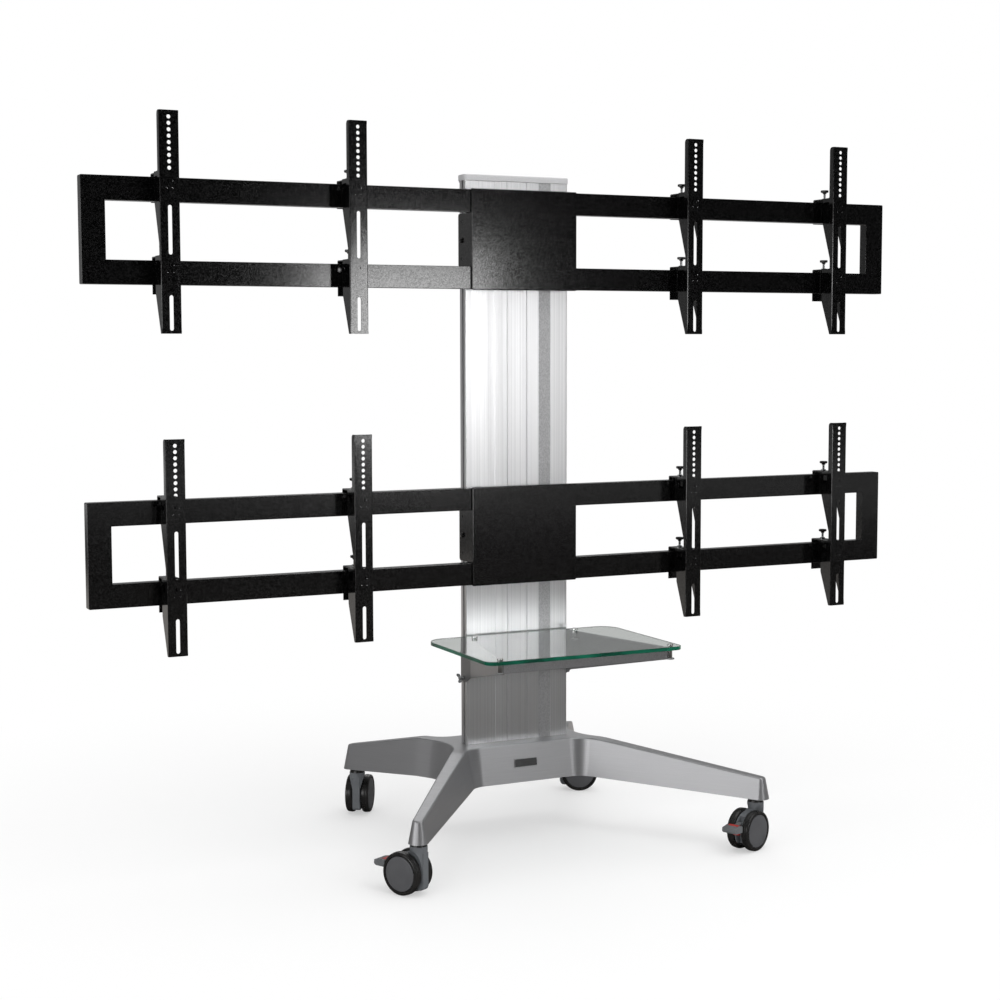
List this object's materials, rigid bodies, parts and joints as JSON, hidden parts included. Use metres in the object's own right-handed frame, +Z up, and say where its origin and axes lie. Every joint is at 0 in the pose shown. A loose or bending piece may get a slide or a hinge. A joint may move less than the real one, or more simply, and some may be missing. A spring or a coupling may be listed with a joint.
{
  "type": "multi-screen tv stand",
  "caption": "Rolling stand with a wide column on a cast base, two cross frames with hooked perforated screen arms, and a glass shelf.",
  "frame": {"origin": "on the floor, at the centre of the stand's bounding box", "axes": "+X along the cross frames to the right as seen from the front, +Y from the front to the back, +Z up"},
  "size_m": [2, 0.7922, 1.6005],
  "materials": {
    "black_powder_coat": "fine-textured satin black powder coat",
    "anodised_column": "satin silver anodised",
    "cast_base": "brushed satin silver",
    "grey_cap": "smooth light grey",
    "bracket_steel": "satin silver",
    "clear_glass": "clear with green edges",
    "polished_steel": "polished",
    "caster_housing": "satin dark blue-grey",
    "caster_wheel": "satin black",
    "brake_pedal": "satin grey",
    "name_plate": "bare dark plate"
  },
  "bodies": {
    "stand": {"base_casting": "cast_base", "column_extrusion": "anodised_column", "column_foot_plate": "bracket_steel", "column_top_cap": "grey_cap", "name_plate": "name_plate"},
    "upper_frame": {"upper_left_wing": "black_powder_coat", "upper_right_wing": "black_powder_coat", "upper_centre_plate": "black_powder_coat", "upper_column_bracket": "black_powder_coat"},
    "lower_frame": {"lower_left_wing": "black_powder_coat", "lower_right_wing": "black_powder_coat", "lower_centre_plate": "black_powder_coat", "lower_column_bracket": "black_powder_coat"},
    "shelf": {"shelf_glass": "clear_glass", "shelf_bracket": "bracket_steel", "shelf_post_front_left": "polished_steel", "shelf_post_front_right": "polished_steel", "shelf_post_rear_left": "polished_steel", "shelf_post_rear_right": "polished_steel"},
    "upper_arm_1": {"upper_arm_1": "black_powder_coat"},
    "upper_arm_1_top_thumbscrew": {"upper_arm_1_top_thumbscrew": "black_powder_coat"},
    "upper_arm_1_bottom_thumbscrew": {"upper_arm_1_bottom_thumbscrew": "black_powder_coat"},
    "upper_arm_2": {"upper_arm_2": "black_powder_coat"},
    "upper_arm_2_top_thumbscrew": {"upper_arm_2_top_thumbscrew": "black_powder_coat"},
    "upper_arm_2_bottom_thumbscrew": {"upper_arm_2_bottom_thumbscrew": "black_powder_coat"},
    "upper_arm_3": {"upper_arm_3": "black_powder_coat"},
    "upper_arm_3_top_thumbscrew": {"upper_arm_3_top_thumbscrew": "black_powder_coat"},
    "upper_arm_3_bottom_thumbscrew": {"upper_arm_3_bottom_thumbscrew": "black_powder_coat"},
    "upper_arm_4": {"upper_arm_4": "black_powder_coat"},
    "upper_arm_4_top_thumbscrew": {"upper_arm_4_top_thumbscrew": "black_powder_coat"},
    "upper_arm_4_bottom_thumbscrew": {"upper_arm_4_bottom_thumbscrew": "black_powder_coat"},
    "lower_arm_1": {"lower_arm_1": "black_powder_coat"},
    "lower_arm_1_top_thumbscrew": {"lower_arm_1_top_thumbscrew": "black_powder_coat"},
    "lower_arm_1_bottom_thumbscrew": {"lower_arm_1_bottom_thumbscrew": "black_powder_coat"},
    "lower_arm_2": {"lower_arm_2": "black_powder_coat"},
    "lower_arm_2_top_thumbscrew": {"lower_arm_2_top_thumbscrew": "black_powder_coat"},
    "lower_arm_2_bottom_thumbscrew": {"lower_arm_2_bottom_thumbscrew": "black_powder_coat"},
    "lower_arm_3": {"lower_arm_3": "black_powder_coat"},
    "lower_arm_3_top_thumbscrew": {"lower_arm_3_top_thumbscrew": "black_powder_coat"},
    "lower_arm_3_bottom_thumbscrew": {"lower_arm_3_bottom_thumbscrew": "black_powder_coat"},
    "lower_arm_4": {"lower_arm_4": "black_powder_coat"},
    "lower_arm_4_top_thumbscrew": {"lower_arm_4_top_thumbscrew": "black_powder_coat"},
    "lower_arm_4_bottom_thumbscrew": {"lower_arm_4_bottom_thumbscrew": "black_powder_coat"},
    "shelf_clamp_screw_left": {"shelf_clamp_screw_left": "black_powder_coat"},
    "shelf_clamp_screw_right": {"shelf_clamp_screw_right": "black_powder_coat"},
    "caster_fork_front_left": {"caster_fork_front_left": "caster_housing"},
    "caster_wheel_front_left_a": {"caster_wheel_front_left_a": "caster_wheel"},
    "caster_wheel_front_left_b": {"caster_wheel_front_left_b": "caster_wheel"},
    "brake_pedal_front_left": {"brake_pedal_front_left": "brake_pedal"},
    "caster_fork_front_right": {"caster_fork_front_right": "caster_housing"},
    "caster_wheel_front_right_a": {"caster_wheel_front_right_a": "caster_wheel"},
    "caster_wheel_front_right_b": {"caster_wheel_front_right_b": "caster_wheel"},
    "brake_pedal_front_right": {"brake_pedal_front_right": "brake_pedal"},
    "caster_fork_rear_left": {"caster_fork_rear_left": "caster_housing"},
    "caster_wheel_rear_left_a": {"caster_wheel_rear_left_a": "caster_wheel"},
    "caster_wheel_rear_left_b": {"caster_wheel_rear_left_b": "caster_wheel"},
    "caster_fork_rear_right": {"caster_fork_rear_right": "caster_housing"},
    "caster_wheel_rear_right_a": {"caster_wheel_rear_right_a": "caster_wheel"},
    "caster_wheel_rear_right_b": {"caster_wheel_rear_right_b": "caster_wheel"}
  },
  "joints": [
    {"name": "upper_frame_height", "type": "slide", "parent": "stand", "child": "upper_frame", "axis": [0, 0, 1], "range_m": [-0.15, 0.05]},
    {"name": "lower_frame_height", "type": "slide", "parent": "stand", "child": "lower_frame", "axis": [0, 0, 1], "range_m": [-0.06, 0.05]},
    {"name": "shelf_height", "type": "slide", "parent": "stand", "child": "shelf", "axis": [0, 0, 1], "range_m": [-0.1, 0.04]},
    {"name": "upper_arm_1_slide", "type": "slide", "parent": "upper_frame", "child": "upper_arm_1", "axis": [1, 0, 0], "range_m": [-0.1, 0.18]},
    {"name": "upper_arm_1_top_thumbscrew_turn", "type": "hinge", "parent": "upper_arm_1", "child": "upper_arm_1_top_thumbscrew", "pos_m": [-0.8265, 0.0089, 1.471], "axis": [0, 0, 1], "range_deg": [0, 1080]},
    {"name": "upper_arm_1_bottom_thumbscrew_turn", "type": "hinge", "parent": "upper_arm_1", "child": "upper_arm_1_bottom_thumbscrew", "pos_m": [-0.8265, 0.0089, 1.301], "axis": [0, 0, 1], "range_deg": [0, 1080]},
    {"name": "upper_arm_2_slide", "type": "slide", "parent": "upper_frame", "child": "upper_arm_2", "axis": [1, 0, 0], "range_m": [-0.18, 0.18]},
    {"name": "upper_arm_2_top_thumbscrew_turn", "type": "hinge", "parent": "upper_arm_2", "child": "upper_arm_2_top_thumbscrew", "pos_m": [-0.417, 0.0089, 1.471], "axis": [0, 0, 1], "range_deg": [0, 1080]},
    {"name": "upper_arm_2_bottom_thumbscrew_turn", "type": "hinge", "parent": "upper_arm_2", "child": "upper_arm_2_bottom_thumbscrew", "pos_m": [-0.417, 0.0089, 1.301], "axis": [0, 0, 1], "range_deg": [0, 1080]},
    {"name": "upper_arm_3_slide", "type": "slide", "parent": "upper_frame", "child": "upper_arm_3", "axis": [1, 0, 0], "range_m": [-0.18, 0.18]},
    {"name": "upper_arm_3_top_thumbscrew_turn", "type": "hinge", "parent": "upper_arm_3", "child": "upper_arm_3_top_thumbscrew", "pos_m": [0.4224, 0.0089, 1.471], "axis": [0, 0, 1], "range_deg": [0, 1080]},
    {"name": "upper_arm_3_bottom_thumbscrew_turn", "type": "hinge", "parent": "upper_arm_3", "child": "upper_arm_3_bottom_thumbscrew", "pos_m": [0.4224, 0.0089, 1.301], "axis": [0, 0, 1], "range_deg": [0, 1080]},
    {"name": "upper_arm_4_slide", "type": "slide", "parent": "upper_frame", "child": "upper_arm_4", "axis": [1, 0, 0], "range_m": [-0.18, 0.105]},
    {"name": "upper_arm_4_top_thumbscrew_turn", "type": "hinge", "parent": "upper_arm_4", "child": "upper_arm_4_top_thumbscrew", "pos_m": [0.8324, 0.0089, 1.471], "axis": [0, 0, 1], "range_deg": [0, 1080]},
    {"name": "upper_arm_4_bottom_thumbscrew_turn", "type": "hinge", "parent": "upper_arm_4", "child": "upper_arm_4_bottom_thumbscrew", "pos_m": [0.8324, 0.0089, 1.301], "axis": [0, 0, 1], "range_deg": [0, 1080]},
    {"name": "lower_arm_1_slide", "type": "slide", "parent": "lower_frame", "child": "lower_arm_1", "axis": [1, 0, 0], "range_m": [-0.1, 0.18]},
    {"name": "lower_arm_1_top_thumbscrew_turn", "type": "hinge", "parent": "lower_arm_1", "child": "lower_arm_1_top_thumbscrew", "pos_m": [-0.8247, 0.0089, 0.8056], "axis": [0, 0, 1], "range_deg": [0, 1080]},
    {"name": "lower_arm_1_bottom_thumbscrew_turn", "type": "hinge", "parent": "lower_arm_1", "child": "lower_arm_1_bottom_thumbscrew", "pos_m": [-0.8247, 0.0089, 0.6356], "axis": [0, 0, 1], "range_deg": [0, 1080]},
    {"name": "lower_arm_2_slide", "type": "slide", "parent": "lower_frame", "child": "lower_arm_2", "axis": [1, 0, 0], "range_m": [-0.18, 0.14]},
    {"name": "lower_arm_2_top_thumbscrew_turn", "type": "hinge", "parent": "lower_arm_2", "child": "lower_arm_2_top_thumbscrew", "pos_m": [-0.4109, 0.0089, 0.8056], "axis": [0, 0, 1], "range_deg": [0, 1080]},
    {"name": "lower_arm_2_bottom_thumbscrew_turn", "type": "hinge", "parent": "lower_arm_2", "child": "lower_arm_2_bottom_thumbscrew", "pos_m": [-0.4109, 0.0089, 0.6356], "axis": [0, 0, 1], "range_deg": [0, 1080]},
    {"name": "lower_arm_3_slide", "type": "slide", "parent": "lower_frame", "child": "lower_arm_3", "axis": [1, 0, 0], "range_m": [-0.14, 0.18]},
    {"name": "lower_arm_3_top_thumbscrew_turn", "type": "hinge", "parent": "lower_arm_3", "child": "lower_arm_3_top_thumbscrew", "pos_m": [0.4231, 0.0089, 0.8056], "axis": [0, 0, 1], "range_deg": [0, 1080]},
    {"name": "lower_arm_3_bottom_thumbscrew_turn", "type": "hinge", "parent": "lower_arm_3", "child": "lower_arm_3_bottom_thumbscrew", "pos_m": [0.4231, 0.0089, 0.6356], "axis": [0, 0, 1], "range_deg": [0, 1080]},
    {"name": "lower_arm_4_slide", "type": "slide", "parent": "lower_frame", "child": "lower_arm_4", "axis": [1, 0, 0], "range_m": [-0.18, 0.098]},
    {"name": "lower_arm_4_top_thumbscrew_turn", "type": "hinge", "parent": "lower_arm_4", "child": "lower_arm_4_top_thumbscrew", "pos_m": [0.8397, 0.0089, 0.8056], "axis": [0, 0, 1], "range_deg": [0, 1080]},
    {"name": "lower_arm_4_bottom_thumbscrew_turn", "type": "hinge", "parent": "lower_arm_4", "child": "lower_arm_4_bottom_thumbscrew", "pos_m": [0.8397, 0.0089, 0.6356], "axis": [0, 0, 1], "range_deg": [0, 1080]},
    {"name": "shelf_clamp_screw_left_turn", "type": "hinge", "parent": "shelf", "child": "shelf_clamp_screw_left", "pos_m": [-0.133, 0.046, 0.3655], "axis": [-1, 0, 0], "range_deg": [0, 1080]},
    {"name": "shelf_clamp_screw_right_turn", "type": "hinge", "parent": "shelf", "child": "shelf_clamp_screw_right", "pos_m": [0.133, 0.046, 0.3655], "axis": [1, 0, 0], "range_deg": [0, 1080]},
    {"name": "caster_swivel_front_left", "type": "hinge", "parent": "stand", "child": "caster_fork_front_left", "pos_m": [-0.412, -0.3396, 0.112], "axis": [0, 0, 1], "continuous": true},
    {"name": "caster_wheel_front_left_a_spin", "type": "hinge", "parent": "caster_fork_front_left", "child": "caster_wheel_front_left_a", "pos_m": [-0.40884, -0.30507, 0.0455], "axis": [-0.8829, -0.4695, 0], "continuous": true},
    {"name": "caster_wheel_front_left_b_spin", "type": "hinge", "parent": "caster_fork_front_left", "child": "caster_wheel_front_left_b", "pos_m": [-0.44239, -0.32291, 0.0455], "axis": [-0.8829, -0.4695, 0], "continuous": true},
    {"name": "brake_pedal_front_left_hinge", "type": "hinge", "parent": "caster_fork_front_left", "child": "brake_pedal_front_left", "pos_m": [-0.4397, -0.28751, 0.06], "axis": [-0.8829, -0.4695, 0], "range_deg": [-14, 8]},
    {"name": "caster_swivel_front_right", "type": "hinge", "parent": "stand", "child": "caster_fork_front_right", "pos_m": [0.412, -0.3396, 0.112], "axis": [0, 0, 1], "continuous": true},
    {"name": "caster_wheel_front_right_a_spin", "type": "hinge", "parent": "caster_fork_front_right", "child": "caster_wheel_front_right_a", "pos_m": [0.37793, -0.3332, 0.0455], "axis": [0.3843, -0.9232, 0], "continuous": true},
    {"name": "caster_wheel_front_right_b_spin", "type": "hinge", "parent": "caster_fork_front_right", "child": "caster_wheel_front_right_b", "pos_m": [0.39253, -0.36829, 0.0455], "axis": [0.3843, -0.9232, 0], "continuous": true},
    {"name": "brake_pedal_front_right_hinge", "type": "hinge", "parent": "caster_fork_front_right", "child": "brake_pedal_front_right", "pos_m": [0.35753, -0.36227, 0.06], "axis": [0.3843, -0.9232, 0], "range_deg": [-14, 8]},
    {"name": "caster_swivel_rear_left", "type": "hinge", "parent": "stand", "child": "caster_fork_rear_left", "pos_m": [-0.286, 0.3224, 0.112], "axis": [0, 0, 1], "continuous": true},
    {"name": "caster_wheel_rear_left_a_spin", "type": "hinge", "parent": "caster_fork_rear_left", "child": "caster_wheel_rear_left_a", "pos_m": [-0.25415, 0.3361, 0.0455], "axis": [-0.8339, 0.5519, 0], "continuous": true},
    {"name": "caster_wheel_rear_left_b_spin", "type": "hinge", "parent": "caster_fork_rear_left", "child": "caster_wheel_rear_left_b", "pos_m": [-0.28584, 0.35707, 0.0455], "axis": [-0.8339, 0.5519, 0], "continuous": true},
    {"name": "caster_swivel_rear_right", "type": "hinge", "parent": "stand", "child": "caster_fork_rear_right", "pos_m": [0.286, 0.3224, 0.112], "axis": [0, 0, 1], "continuous": true},
    {"name": "caster_wheel_rear_right_a_spin", "type": "hinge", "parent": "caster_fork_rear_right", "child": "caster_wheel_rear_right_a", "pos_m": [0.30527, 0.29358, 0.0455], "axis": [0.3907, 0.9205, 0], "continuous": true},
    {"name": "caster_wheel_rear_right_b_spin", "type": "hinge", "parent": "caster_fork_rear_right", "child": "caster_wheel_rear_right_b", "pos_m": [0.32012, 0.32856, 0.0455], "axis": [0.3907, 0.9205, 0], "continuous": true}
  ]
}
